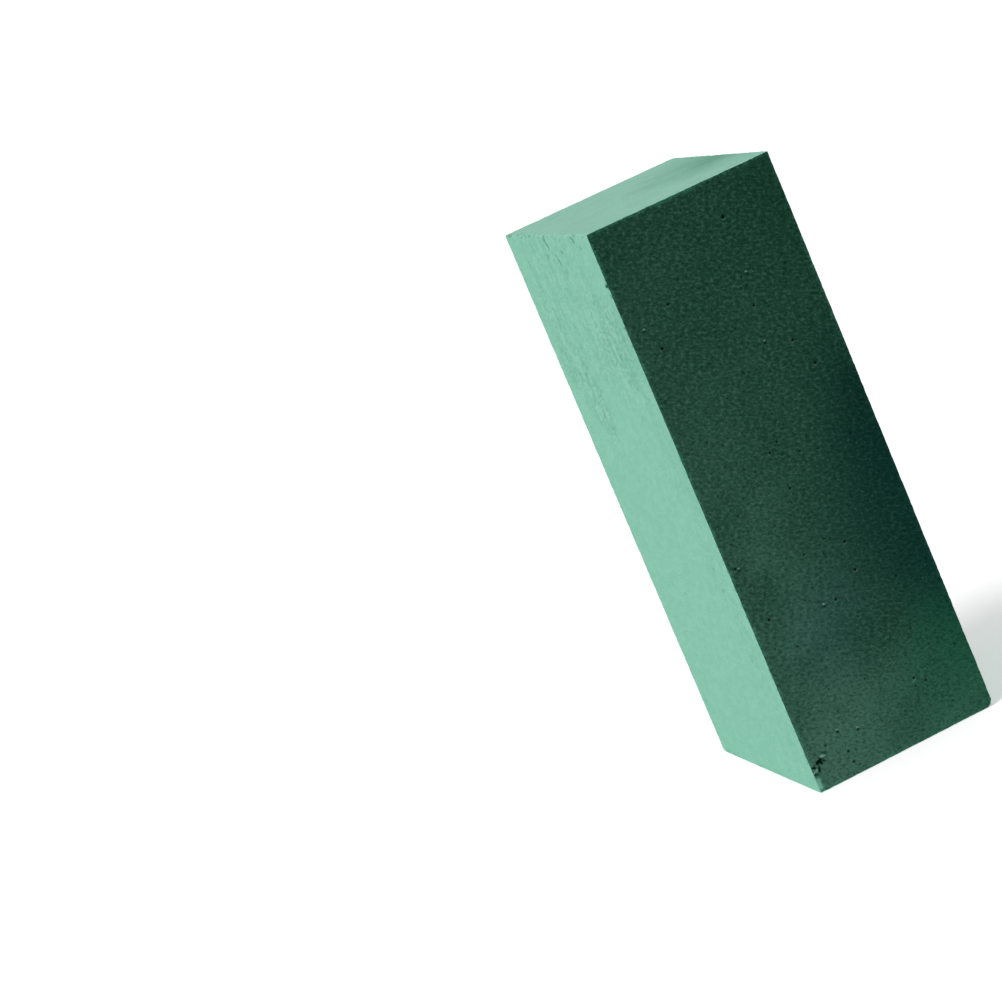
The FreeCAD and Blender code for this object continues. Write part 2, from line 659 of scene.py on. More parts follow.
random = np.random.default_rng(SEEDS["pits"])
for side in SIDES:
    pitted_side(side, random)

# %% [markdown]
# ## Into a mesh, and finer where it is damaged
# The mesh starts as the plain flat-sided box. Faces are split smaller at the torn place, at
# the chip and along the edges where dark sides meet pale ones, because that is where small
# shapes show. Blender's own subdivide does the splitting, and it closes the joint between
# small faces and large ones.

# %% Make the flat mesh
def mesh_from_faces(name, points, faces, lift):
    """A mesh of quads and triangles, with each face's side and each point's lift stored on it."""
    corners = np.concatenate([part.ravel() for part, _ in faces])
    sizes = np.concatenate([np.full(len(part), part.shape[1]) for part, _ in faces])
    sides = np.concatenate([np.full(len(part), number) for part, number in faces])
    mesh = bpy.data.meshes.new(name)
    mesh.vertices.add(len(points))
    mesh.vertices.foreach_set("co", points.astype(np.float32).ravel())
    mesh.loops.add(len(corners))
    mesh.loops.foreach_set("vertex_index", corners.astype(np.int32))
    mesh.polygons.add(len(sizes))
    mesh.polygons.foreach_set("loop_start", (np.cumsum(sizes) - sizes).astype(np.int32))
    mesh.attributes.new("side", "INT", "FACE").data.foreach_set("value", sides.astype(np.int32))
    mesh.attributes.new("lift", "FLOAT", "POINT").data.foreach_set("value", lift.astype(np.float32))
    mesh.update(calc_edges=True)
    return mesh


skin = mesh_from_faces("foam_skin", np.concatenate(flat), faces, np.concatenate(lift))
print("flat mesh:", len(skin.vertices), "points,", len(skin.polygons), "faces")

# %% Split the faces where small shapes show
import bmesh

EDGE_STRIP = 1.0


def read(collection, name, width, kind=np.float32):
    """One value or vector per item of a mesh collection, as an array."""
    values = np.empty(len(collection) * width, kind)
    collection.foreach_get(name, values)
    return values.reshape(-1, width) if width > 1 else values


def inside_box(points):
    """How far each point is inside the nearer of the two sides that face along each axis."""
    return half - np.abs(points - middle)


def edge_distance(points):
    """How far a point on the box is from the nearest of its twelve edges."""
    return np.sort(inside_box(points), axis=1)[:, 1]


def behind_open_side(points):
    """How far a point is behind the plane of the nearer open-celled side."""
    return inside_box(points)[:, 1]


def beside_open_side(points):
    """True in a narrow strip along the edges of the front and back."""
    return (behind_open_side(points) < EDGE_STRIP) & (edge_distance(points) < EDGE_STRIP)


def split(mesh, wanted, cuts, longer_than):
    """Cut every long edge whose two ends are both wanted, and fill the faces with a grid."""
    ends = read(mesh.edges, "vertices", 2, np.int32)
    points = read(mesh.vertices, "co", 3)
    lengths = np.linalg.norm(points[ends[:, 0]] - points[ends[:, 1]], axis=1)
    chosen = wanted(points)[ends].all(axis=1) & (lengths > longer_than)
    work = bmesh.new()
    work.from_mesh(mesh)
    work.edges.ensure_lookup_table()
    edges = [work.edges[i] for i in np.flatnonzero(chosen)]
    bmesh.ops.subdivide_edges(work, edges=edges, cuts=cuts, use_grid_fill=True)
    work.to_mesh(mesh)
    work.free()


for wanted, cuts, longer_than in [(beside_open_side, 1, 0.5), (near_tear, 3, 0.0), (near_chip, 2, 0.0)]:
    split(skin, wanted, cuts, longer_than)
print("after splitting:", len(skin.vertices), "points,", len(skin.polygons), "faces")

# %% [markdown]
# ## Giving the flat box its shape
# Every point now moves from the flat box to where the foam's surface is. First the edges are
# rounded. Then each kind of unevenness says how deep it goes, and the point moves in by the
# sum along the direction that the rounded box faces there. Keeping it one sum lets the kinds
# of damage run into each other, as they do on the real brick.

# %% Round the edges
def rounded(points):
    """Points on a box with rounded edges, and the way that each faces.

    The nearest point of a smaller inner box is found. The way out is the direction from it
    to the point, and the rounded point is one edge radius that way from the inner point.
    """
    inner = np.clip(points, low + EDGE_RADIUS, high - EDGE_RADIUS)
    way = points - inner
    way /= np.linalg.norm(way, axis=1, keepdims=True)
    return inner + way * EDGE_RADIUS, way


corner = shell[:1]
print("a corner of the box moves in by, mm:", round(np.linalg.norm(rounded(corner)[0] - corner), 2))

# %% Waves, crumbs and dents
WAVE_HEIGHT, WAVE_SIZE = 0.08, 17.0
GRAIN_HEIGHT, GRAIN_SIZE = 0.05, 2.3
OPEN_GRAIN = 2.0  # how much deeper the grain is on the open-celled sides
CRUMB_DEPTH, CRUMB_SIZE, CRUMB_REACH, CRUMB_BITE = 0.20, 1.4, 1.2, (-0.1, 0.6)
DENT_DEPTH, DENT_SIZE, DENT_BITE = 0.40, np.array([3.0, 4.5, 2.4]), (0.05, 0.6)


def saw_waves(points):
    """Long shallow waves that the saw leaves, and a fine grain on top of them."""
    waves = WAVE_HEIGHT * rough(points, WAVE_SIZE, SEEDS["waves"])
    grain = GRAIN_HEIGHT * rough(points, GRAIN_SIZE, SEEDS["grain"])
    return waves + np.where(behind_open_side(points) < EDGE_RADIUS, OPEN_GRAIN, 1.0) * grain


def edge_crumbs(points):
    """Bites out of the edges: where the noise is high, and less the further from the edge."""
    bite = ramp(rough(points, CRUMB_SIZE, SEEDS["crumbs"]), *CRUMB_BITE)
    near = 1 - ramp(edge_distance(points), 0.0, CRUMB_REACH)
    return CRUMB_DEPTH * near * bite


def dents(points):
    """Soft dents where the broad faces are scuffed."""
    bite = ramp(rough(points, DENT_SIZE, SEEDS["dents"]), *DENT_BITE)
    return DENT_DEPTH * scuffed(points) * bite


for unevenness in (saw_waves, edge_crumbs, dents):
    print(unevenness.__name__, "go in by up to, mm:", round(unevenness(shell).max(), 2))

# %% The torn place and the chip
OUTLINE_RAGGED, OUTLINE_LUMPS = 0.28, 1.7
TORN_GRAIN, TORN_LUMPS = 0.40, 1.1
TORN_FROM = (0.05, 0.5)  # the depths at which foam starts to be torn, and is
WORN_MIDDLE, WORN_REACH, WORN_DEPTH = 0.8, 2.8, 0.35
WORN_RAGGED, WORN_LUMPS = 0.8, 1.3
WORN_FADE_UP, WORN_FADE_DOWN = (4.0, 9.0), (-1.0, 2.5)
CHIP_RAGGED, CHIP_LUMPS = 0.12, 1.4


def tear(points):
    """How deep each point is torn, how high its lip stands, and how worn the edge is there.

    Across an oval, the depth is 1 minus the cube of the distance from its middle, and the
    height of a lip is 1 minus the square, both with a ragged outline. Hollows don't add up:
    the deepest one counts.
    """
    across, up, here = front_place(points)
    ragged = OUTLINE_RAGGED * rough(points, OUTLINE_LUMPS, SEEDS["outline"])
    depth, height = np.zeros(len(points)), np.zeros(len(points))
    for *place, deepest in HOLLOWS + NICKS:
        inside = np.clip(1 - (oval(points, *place) + ragged) ** 3, 0, 1)
        depth = np.maximum(depth, deepest * inside)
    for *place, tallest in LIPS:
        inside = np.clip(1 - (oval(points, *place) + ragged) ** 2, 0, 1)
        height = np.maximum(height, tallest * inside)
    torn = ramp(depth, *TORN_FROM)
    depth += torn * TORN_GRAIN * rough(points, TORN_LUMPS, SEEDS["torn"])
    beside = np.abs(across - WORN_MIDDLE)
    worn = (1 - ramp(beside, 0.0, WORN_REACH)) * (1 - ramp(up, *WORN_FADE_UP))
    worn = worn * (1 + WORN_RAGGED * rough(points, WORN_LUMPS, SEEDS["worn"]))
    worn = np.clip(worn, 0, 1) * ramp(up, *WORN_FADE_DOWN)
    return (depth + WORN_DEPTH * worn) * here, height * (1 - torn) * here, worn * here


def cut_chip(points):
    """Points beyond the chip's plane move back onto it, less a ragged amount. Returns which did.

    How far a point is beyond the plane is the sum, over the axes, of its distance from the
    corner divided by what that edge lost, plus 1.
    """
    towards = np.array([1, -1, -1]) / CHIP_LOSS
    beyond = (points - CHIP_CORNER) @ towards + 1
    ragged = np.clip(CHIP_RAGGED * rough(points, CHIP_LUMPS, SEEDS["chip"]), 0, None)
    back = np.where(beyond > 0, beyond + ragged, 0)
    return points - back[:, None] * towards / (towards @ towards), beyond > 0


print("the deepest torn point, mm:", round(tear(read(skin.vertices, "co", 3))[0].max(), 2))

# %% Move every point
PRESSED_FLAT = 0.04  # how far above the floor the base's high spots are pressed flat
LIP_SHOWS = (0.05, 0.35)  # the heights at which a lip starts to turn pale, as broken foam with painted light, and has
PROUD_RIM, FAINT_RIM_HIGHLIGHT = (0.14, 0.30), 0.35  # a large pit's proud rim gets a faint painted highlight
CHIP_WORN = 0.33
OPENED, OPENED_FROM = (0.2, 0.4), -4.0  # hooks further round on the left side aren't torn open


def store(mesh, name, values):
    """Keep one number per point on the mesh, for the finishes to read."""
    mesh.attributes.new(name, "FLOAT", "POINT").data.foreach_set("value", values.astype(np.float32))


def shape_skin(mesh):
    """Move the flat box's points to the foam's surface, and keep what the finishes need.

    Nothing goes below the floor, because the brick's weight has pressed its high spots flat.
    Kept are how far each point has sunk in mm, and from 0 to 1 whether it is on a lip of broken
    foam, pale with painted light, or on a large pit's rim, with a painted highlight, how worn the
    edge is there, and how scuffed the face.
    """
    points = read(mesh.vertices, "co", 3).astype(float)
    on_box, way = rounded(points)
    depth, lips, worn = tear(points)
    pits = -read(mesh.attributes["lift"].data, "value", 1)
    inward = saw_waves(points) + edge_crumbs(points) + dents(points) + depth - lips + pits
    placed, chipped = cut_chip(on_box - way * inward[:, None])
    placed[:, 2] = np.maximum(placed[:, 2], low[2] + PRESSED_FLAT)
    mesh.vertices.foreach_set("co", (placed * MM).astype(np.float32).ravel())
    torn_depth = depth - worn * WORN_DEPTH
    # how far each point has sunk: the finishes paint shade from it
    store(mesh, "sunk", np.clip(torn_depth, 0, None) + np.clip(pits, 0, None))
    # pale lips of broken foam with painted light in them, and painted highlights on large pits' rims
    rim_highlights = FAINT_RIM_HIGHLIGHT * ramp(-pits, *PROUD_RIM)
    store(mesh, "broken_lip_and_rim_light", np.maximum(ramp(lips, *LIP_SHOWS), rim_highlights))
    store(mesh, "worn", np.maximum(worn, CHIP_WORN * chipped))
    store(mesh, "scuffed", scuffed(points))
    mesh.attributes.remove(mesh.attributes["lift"])
    mesh.update()
    opened = ramp(torn_depth, *OPENED) * (front_place(points)[0] > OPENED_FROM)
    return points, np.maximum(opened, chipped)


flat_points, torn = shape_skin(skin)
print("torn points:", int((torn > 0.5).sum()))

# %% [markdown]
# ## A map for baking
# Materials here read the place of a point on the brick, so they need no map. Colours stored in
# an image do. An automatic unwrapping would split the skin at every pit, so the skin brings a
# map: the six flat sides laid side by side, as a carton is before it is folded.

# %% Lay the six sides out
GAP = 3.0
# for each side: the two axes that run right and up in the map, and the panel's lower left corner
PANELS = {
    "left": (1, 2, 0, 0),
    "front": (0, 2, 1, 0),
    "right": (1, 2, 2, 0),
    "back": (0, 2, 3, 0),
    "top": (0, 1, 1, 1),
    "base": (0, 1, 3, 1),
}


def lay_out(mesh, flat_points):
    """Give each face's corners their place in the map, from where they were on the flat box."""
    size = high - low
    starts = np.cumsum([0, size[1] + GAP, size[0] + GAP, size[1] + GAP, size[0] + GAP])
    sheet = max(starts[-1], size[2] + size[1] + 2 * GAP)
    side_of_face = read(mesh.attributes["side"].data, "value", 1, np.int32)
    side_of_corner = np.repeat(side_of_face, read(mesh.polygons, "loop_total", 1, np.int32))
    points = flat_points[read(mesh.loops, "vertex_index", 1, np.int32)] - low
    places = np.zeros((len(points), 2))
    for side, (right, up, column, row) in PANELS.items():
        here = side_of_corner == SIDES.index(side)
        corner = [starts[column] + GAP / 2, row * (size[2] + GAP) + GAP / 2]
        places[here] = points[here][:, [right, up]] + corner
    layer = mesh.uv_layers.new(name="OFBake")
    layer.uv.foreach_set("vector", (places / sheet).astype(np.float32).ravel())
    print("the map is", round(sheet, 1), "mm across")


lay_out(skin, flat_points)

# %% [markdown]
# ## Cells
# Foam is a froth of small rooms with thin walls, set hard. A cut goes through each room at a
# different height, so some mouths are wide and some barely open. A Voronoi pattern in three
# dimensions is the same thing: slice it, and each cell shows as large as the cut makes it.
# Its distance grows from the middle of a room to its walls, so the walls stand up as ridges.

# %% Group: foam cells
WARP_SCALE, CELL_WARP = 0.9, 0.6  # noise that pushes the rooms out of line
FINE_SCALE, FINE_HEIGHT = 2.2, 0.8  # noise that roughens the walls
WALL = (0.38, 0.72)  # how far from a room's middle its wall starts to rise, and is full
CUT_OPENS = (0.2, 1.0)  # the heights of cut at which a mouth starts to open, and is wide open
MOUTH_DROP = 0.8


def make_cells_group():
    """Mouth is 1 in an open cell, Wall is 1 on the ridges between cells, Relief is the height."""
    inputs = {"Position": (0.0, 0.0, 0.0), "Across": 1.0, "Open From": 0.40, "Open To": 0.15}
    group, entry, leave = start_group("foam_cells", inputs, ["Mouth", "Wall", "Relief"])
    per_metre = sum_of(group, "DIVIDE", 1 / MM, entry["Across"])
    scaled = add(group, "VectorMath", {0: entry["Position"], "Scale": per_metre}, operation="SCALE")
    scaled = scaled.outputs[0]
    wander = add(group, "TexNoise", {"Vector": scaled, "Scale": WARP_SCALE, "Detail": 2.0})
    pushed = vectors(group, "MULTIPLY_ADD", wander.outputs["Color"], (CELL_WARP,) * 3, scaled)
    rooms = add(group, "TexVoronoi", {"Vector": pushed, "Scale": 1.0})
    distance = rooms.outputs["Distance"]
    opening = between(group, distance, entry["Open From"], entry["Open To"])
    height_of_cut = add(group, "SeparateColor", {"Color": rooms.outputs["Color"]}).outputs[0]
    mouth = times(group, opening, between(group, height_of_cut, *CUT_OPENS))
    wall = between(group, distance, *WALL)
    fine = add(group, "TexNoise", {"Vector": scaled, "Scale": FINE_SCALE, "Detail": 2.0}).outputs[0]
    height = plus(group, wall, times(group, fine, FINE_HEIGHT))
    relief = plus(group, height, times(group, mouth, -MOUTH_DROP))
    plug(group, leave, {"Mouth": mouth, "Wall": wall, "Relief": relief})
    return group


foam_cells = make_cells_group()
print("foam_cells:", len(foam_cells.nodes), "nodes")

# %% [markdown]
# ## Sawn edges
# Edges lose crumbs, and dust gathers along them, so a pale line runs beside each edge and the
# border between dark and pale is ragged. The group works out how far a point is from the
# nearest edge of the block: of its distances to the three pairs of faces, the middle one.

# %% Group: sawn edge
SWING_MM, NICK_MM = 1.6, 3.0  # how long the swings of its inner border are, and its nicks
NICKED = (0.52, 0.62)


def make_edge_group():
    """Near is 1 at an edge and 0 from Reach inwards, in mm. Ragged moves it, and Nick is gaps in it."""
    inputs = {"Position": (0.0, 0.0, 0.0), "Reach": 1.0, "Ragged": 0.5}
    group, entry, leave = start_group("sawn_edge", inputs, ["Near", "Nick"])
    folded = vectors(group, "ABSOLUTE", vectors(group, "SUBTRACT", entry["Position"], middle * MM))
    inside = vectors(group, "SUBTRACT", half * MM, folded)
    x, y, z = add(group, "SeparateXYZ", {0: inside}).outputs
    lesser, greater = sum_of(group, "MINIMUM", x, y), sum_of(group, "MAXIMUM", x, y)
    distance = sum_of(group, "MAXIMUM", lesser, sum_of(group, "MINIMUM", greater, z))
    swing = between(group, noise(group, entry["Position"], SWING_MM, 3.0), *NOISE_RANGE, -1.0, 1.0)
    moved = plus(group, times(group, distance, 1 / MM), times(group, swing, entry["Ragged"]))
    near = between(group, moved, entry["Reach"], 0.0)
    gaps = between(group, noise(group, entry["Position"], NICK_MM), *NICKED)
    plug(group, leave, {"Near": near, "Nick": times(group, gaps, near)})
    return group


sawn_edge = make_edge_group()
print("sawn_edge:", len(sawn_edge.nodes), "nodes")

# %% [markdown]
# ## Dust
# The saw leaves a powder of crushed foam on what it cuts. It lies in soft patches, it gathers
# in small flecks, and the blade draws some of it out into streaks. Stretch says how much
# longer than wide they are: each axis of the position is multiplied by its share of it.

# %% Group: sawdust
MOTTLE_MM, FLECK_MM, STREAK_MM = 8.0, 2.2, 2.0
MOTTLE, FLECK, STREAK = (0.35, 0.65), (0.42, 0.68), (0.40, 0.66)  # noise at which each starts and is full


def make_dust_group():
    """Mottle is soft and patchy, Fleck is small lumps, and Streak is drawn out by Stretch."""
    inputs = {"Position": (0.0, 0.0, 0.0), "Stretch": (1.0, 1.0, 1.0)}
    group, entry, leave = start_group("sawdust", inputs, ["Mottle", "Fleck", "Streak"])
    mottle = between(group, noise(group, entry["Position"], MOTTLE_MM, 3.0), *MOTTLE)
    fleck = between(group, noise(group, entry["Position"], FLECK_MM, 3.0, 0.6), *FLECK)
    drawn = vectors(group, "MULTIPLY", entry["Position"], entry["Stretch"])
    streak = between(group, noise(group, drawn, STREAK_MM, 3.0), *STREAK)
    plug(group, leave, {"Mottle": mottle, "Fleck": fleck, "Streak": streak})
    return group


sawdust = make_dust_group()
print("sawdust:", len(sawdust.nodes), "nodes")

# %% [markdown]
# ## Patches
# The green isn't even. Its tone lies in patches as wide as a hand, with no outline, and on the
# open-celled sides the patches also paint light and shade. Each patch is a soft ball of colour
# inside the block.

# %% Group: soft patch
WAVER_MM, WAVER = 30.0, 0.12  # how long the swings of its outline are, and how far out they go


def make_patch_group():
    """Amount is 1 at the patch's middle and falls to 0 at its radius, with a wavering outline."""
    inputs = {"Position": (0.0, 0.0, 0.0), "Middle": (0.0, 0.0, 0.0), "Radius": 0.05}
    group, entry, leave = start_group("soft_patch", inputs, ["Amount"])
    inputs = {0: entry["Position"], 1: entry["Middle"]}
    distance = add(group, "VectorMath", inputs, operation="DISTANCE").outputs["Value"]
    share = sum_of(group, "DIVIDE", distance, entry["Radius"])
    waver = between(group, noise(group, entry["Position"], WAVER_MM), *NOISE_RANGE, -WAVER, WAVER)
    plug(group, leave, {"Amount": between(group, plus(group, share, waver), 1.0, 0.0)})
    return group


def patch_layers(tree, position, patches):
    """A layer for each patch: its middle from the lower left front corner, radius, colour, amount."""
    layers = []
    for place, radius, tint, amount in patches:
        spot = (low + np.array(place)) * MM
        patch = use(tree, soft_patch, Position=position, Middle=spot, Radius=radius * MM)
        layers.append((patch["Amount"], amount, tint))
    return layers


soft_patch = make_patch_group()
print("soft_patch:", len(soft_patch.nodes), "nodes")

# %% [markdown]
# ## The finishes
# Foam is dead matt: all of its detail is in colour and relief, and almost nothing shines. What
# little it does shine is less where a cell is open or dust lies, so roughness varies as well.
# Each finish is a base colour and a list of layers laid on it in turn. A layer says where it
# shows, how much of it to use, and its colour.

# %% Colours, and the start and end of every finish
PALE = (0.244, 0.548, 0.415)
PALE_DUST = (0.312, 0.622, 0.488)
PALE_SHADE = (0.168, 0.425, 0.318)
# darker mint of scuff marks and nicks, also the painted shade of pits and hooks on pale sides
PALE_MARK_AND_SHADE = (0.105, 0.290, 0.215)
# pale of a lip of broken foam, with painted light in it
PALE_LIT_LIP = (0.230, 0.420, 0.330)
# the open-celled sides' own dark green, darkened further by painted shade
DEEP_GREEN_AND_SHADE = (0.0090, 0.0485, 0.0290)
# near black of an open cell's mouth, also used for the painted shade of pits and hollows
DEEP_MOUTH = (0.0015, 0.0200, 0.0110)
EDGE_GREEN = (0.030, 0.160, 0.108)
WORN_GREEN = (0.055, 0.230, 0.158)
# how worn an edge is when it starts to turn green, or pale, and when it has turned
TURNS_GREEN, TURNS_PALE = (0.1, 0.5), (0.5, 1.0)
SHINE = 0.02
ROUGH_OPEN, ROUGH_SMOOTH = 1.0, 0.86


def start_finish(name):
    """A new material. Gives it, its tree, its shader and the position on the brick."""
    finish = bpy.data.materials.new(name)
    finish.use_nodes = True
    tree = finish.node_tree
    shader = tree.nodes["Principled BSDF"]
    shader.inputs["Specular IOR Level"].default_value = SHINE
    return finish, tree, shader, add(tree, "TexCoord").outputs["Object"]


def end_finish(tree, shader, color, relief, relief_mm, openness):
    """Plug in the colour, the relief and its depth, and how open the surface is."""
    bump = add(tree, "Bump", {"Height": relief, "Strength": 1.0, "Distance": relief_mm * MM})
    roughness = between(tree, openness, 0.0, 1.0, ROUGH_SMOOTH, ROUGH_OPEN)
    plug(tree, shader, {"Base Color": color, "Normal": bump.outputs[0], "Roughness": roughness})


print("colours run from", DEEP_MOUTH, "to", PALE_DUST)

# %% [markdown]
# ### The open-celled sides
# The front and back are cut across the cells. Walls catch a little light and mouths keep it,
# so the surface has an even grain with sparse pits in it, which are painted dark as shade by
# their depth. Soft patches of uneven tone and painted light and shade lie over the side: paler
# towards the lower left corner, greener towards the lower right, and darkest along the middle
# of the right edge, as painted shade.

# %% Finish: open-celled side
# each patch, partly uneven tone and partly painted light and shade: its middle right of, behind
# and above the lower left front corner, its radius, its colour, and how much of it shows
TONE_AND_LIGHT_PATCHES = [
    ((-42.0, 0.0, -30.0), 166.0, PALE, 0.200),
    ((-45.0, 0.0, 110.0), 150.0, PALE, 0.065),
    ((90.0, 0.0, 212.0), 54.0, (0.002, 0.030, 0.012), 0.50),
    ((90.0, 0.0, 134.0), 48.0, (0.0003, 0.018, 0.014), 0.96),
    ((93.0, 0.0, 80.0), 76.0, (0.0003, 0.023, 0.018), 0.90),
    ((94.0, 0.0, 40.0), 42.0, (0.0003, 0.030, 0.022), 0.75),
    ((54.0, 0.0, -10.0), 56.0, (0.040, 0.150, 0.098), 0.50),
    ((72.0, 0.0, 24.0), 40.0, (0.014, 0.125, 0.062), 0.40),
    ((26.0, 0.0, 54.0), 32.0, (0.012, 0.060, 0.070), 0.20),
]
GRAIN_GREEN = (0.100, 0.340, 0.270)
GRAIN_MM = 1.25
GRAIN_SLANT, GRAIN_STRETCH = math.radians(23), (1.35, 1.0, 0.85)
# noise at which the light and the dark grain start, and are full
GRAIN_LIGHT, GRAIN_DARK = (0.50, 0.68), (0.50, 0.32)
SPECK_MM, SPECKS = 1.2, (0.76, 0.86)
RELIEF_SHARES = {"coarse": 0.5, "fine": 0.2, "grain": 3.0}
OPEN_RELIEF_MM = 0.40
OPEN_SHADE_DEPTHS = (0.10, 0.80)  # how far a point has sunk, in mm, when it starts to darken, and is dark


def open_celled_finish():
    """Dark green with painted shade in it, an even grain, sparse open mouths, and a ragged greener border.
    """
    finish, tree, shader, position = start_finish("open_celled_side")
    fine = use(tree, foam_cells, Position=position, Across=0.8)
    coarse = use(tree, foam_cells, Position=position, Across=1.9, Open_From=0.26, Open_To=0.10)
    place = {"Vector": position, "Rotation": (0, GRAIN_SLANT, 0), "Scale": GRAIN_STRETCH}
    drawn = add(tree, "Mapping", place, vector_type="TEXTURE").outputs[0]
    grain = noise(tree, drawn, GRAIN_MM, 1.5, 0.6)
    light_grain = between(tree, grain, *GRAIN_LIGHT)
    specks = between(tree, noise(tree, position, SPECK_MM, 0.0), *SPECKS)
    edge = use(tree, sawn_edge, Position=position, Reach=1.7, Ragged=0.8)
    worn, sunk = stored(tree, "worn"), stored(tree, "sunk")
    color = lay(tree, DEEP_GREEN_AND_SHADE, [
        (light_grain, 0.052, PALE_DUST),
        (coarse["Wall"], 0.016, PALE_DUST),
        (fine["Wall"], 0.010, PALE_DUST),
        (edge["Near"], 0.60, EDGE_GREEN),
        # soft patches: uneven tone, and painted light and shade across the side
        *patch_layers(tree, position, TONE_AND_LIGHT_PATCHES),
        (specks, 0.07, PALE_DUST),
        (light_grain, 0.030, GRAIN_GREEN),
        (between(tree, grain, *GRAIN_DARK), 0.38, DEEP_MOUTH),
        (coarse["Mouth"], 0.50, DEEP_MOUTH),
        (fine["Mouth"], 0.20, DEEP_MOUTH),
        (between(tree, worn, *TURNS_GREEN), 0.80, WORN_GREEN),
        (between(tree, worn, *TURNS_PALE), 0.60, PALE),
        # painted light: pale lips, and highlights on the rims of large pits
        (stored(tree, "broken_lip_and_rim_light"), 0.64, PALE_LIT_LIP),
        # painted shade: pits and hollows are darker the deeper they are sunk
        (between(tree, sunk, *OPEN_SHADE_DEPTHS), 0.75, DEEP_MOUTH),
    ])
    heights = {"coarse": coarse["Relief"], "fine": fine["Relief"], "grain": grain}
    scaled = [times(tree, heights[name], share) for name, share in RELIEF_SHARES.items()]
    relief = plus(tree, plus(tree, scaled[0], scaled[1]), scaled[2])
    end_finish(tree, shader, color, relief, OPEN_RELIEF_MM, coarse["Mouth"])
    return finish


open_celled = open_celled_finish()
print(open_celled.name, "has", len(open_celled.node_tree.nodes), "nodes")

# %% [markdown]
# ### The sawn broad faces
# These run along the cells and are nearly smooth. The saw went across them, with a slight rise
# towards the front, and left dust in a soft mottle drawn out that way. Where crumbs were
# dragged they are darker in short dashes, and their edges are dusty, pale and nicked.

# %% Finish: sawn broad face
SAW_RISE = math.radians(12)
SAWN_RELIEF_MM = 0.10
BROAD_SHADE_DEPTHS = (0.05, 0.40)
DASH_DEPTH = 2.0
BROAD_PATCHES = [
    ((0.0, -16.0, 190.0), 40.0, PALE_SHADE, 0.40),
    ((0.0, -18.0, 135.0), 44.0, PALE_SHADE, 0.30),
]


def broad_face_finish():
    """Pale mint with a soft mottle, darker dashes where it is scuffed, and paler edges."""
    finish, tree, shader, position = start_finish("sawn_broad_face")
    turned = add(tree, "Mapping", {"Vector": position, "Rotation": (SAW_RISE, 0, 0)}).outputs[0]
    dust = use(tree, sawdust, Position=turned, Stretch=(1.0, 0.25, 0.8))
    dashes = use(tree, sawdust, Position=turned, Stretch=(1.3, 0.55, 1.1))
    drawn = use(tree, sawdust, Position=position, Stretch=(1.0, 0.7, 0.14))
    cells = use(tree, foam_cells, Position=position, Across=0.9, Open_From=0.30, Open_To=0.10)
    edge = use(tree, sawn_edge, Position=position, Reach=1.9, Ragged=0.6)
    scuff = stored(tree, "scuffed")
    marks = times(tree, dashes["Streak"], scuff)
    worn, sunk = stored(tree, "worn"), stored(tree, "sunk")
    color = lay(tree, PALE, [
        (dust["Mottle"], 0.12, PALE_SHADE),
        (dust["Streak"], 0.26, PALE_DUST),
        (dust["Fleck"], 0.16, PALE_SHADE),
        (cells["Mouth"], 0.20, PALE_SHADE),
        (times(tree, drawn["Mottle"], scuff), 0.90, PALE_DUST),
        (times(tree, drawn["Streak"], scuff), 0.62, PALE_SHADE),
        (marks, 0.44, PALE_MARK_AND_SHADE),
        *patch_layers(tree, position, BROAD_PATCHES),
        (edge["Near"], 0.22, PALE_DUST),
        (edge["Nick"], 0.65, PALE_MARK_AND_SHADE),
        (between(tree, worn, *TURNS_GREEN), 0.20, WORN_GREEN),
        # painted shade: pits and hooks are darker the deeper they are sunk
        (between(tree, sunk, *BROAD_SHADE_DEPTHS), 0.75, PALE_MARK_AND_SHADE),
    ])
    relief = plus(tree, cells["Relief"], times(tree, marks, -DASH_DEPTH))
    end_finish(tree, shader, color, relief, SAWN_RELIEF_MM, dust["Fleck"])
    return finish


sawn_broad = broad_face_finish()
print(sawn_broad.name, "has", len(sawn_broad.node_tree.nodes), "nodes")

# %% [markdown]
# ### The sawn ends
# Another blade cut these, across the brick's thickness, and its streaks are longer and softer.
# The ends are a little greyer than the broad faces, and one side of the top is deeper in tone.

# %% Finish: sawn end
END_PALE = (0.268, 0.510, 0.405)
END_SHADE = (0.180, 0.405, 0.310)
END_PATCHES = [((97.0, 56.0, 230.0), 68.0, (0.095, 0.275, 0.198), 0.85)]
END_SLANT = math.radians(-6)
END_SHADE_DEPTHS = (0.05, 0.60)
STREAK_DEPTH = 1.0


def sawn_end_finish():
    """Greyer mint with long soft streaks, one deeper patch, and paler nicked edges."""
    finish, tree, shader, position = start_finish("sawn_end")
    turned = add(tree, "Mapping", {"Vector": position, "Rotation": (0, 0, END_SLANT)}).outputs[0]
    dust = use(tree, sawdust, Position=turned, Stretch=(0.16, 0.5, 1.0))
    cells = use(tree, foam_cells, Position=position, Across=1.0, Open_From=0.30, Open_To=0.10)
    edge = use(tree, sawn_edge, Position=position, Reach=1.9, Ragged=0.6)
    color = lay(tree, END_PALE, [
        (dust["Streak"], 0.18, END_SHADE),
        (dust["Mottle"], 0.22, PALE_DUST),
        *patch_layers(tree, position, END_PATCHES),
        (dust["Fleck"], 0.14, END_SHADE),
        (cells["Mouth"], 0.20, END_SHADE),
        (edge["Near"], 0.25, PALE_DUST),
        (edge["Nick"], 0.65, PALE_MARK_AND_SHADE),
        # painted shade: pits and hooks are darker the deeper they are sunk
        (between(tree, stored(tree, "sunk"), *END_SHADE_DEPTHS), 0.75, PALE_MARK_AND_SHADE),
    ])
    relief = plus(tree, cells["Relief"], times(tree, dust["Streak"], -STREAK_DEPTH))
    end_finish(tree, shader, color, relief, SAWN_RELIEF_MM, dust["Fleck"])
    return finish


sawn_end = sawn_end_finish()
print(sawn_end.name, "has", len(sawn_end.node_tree.nodes), "nodes")
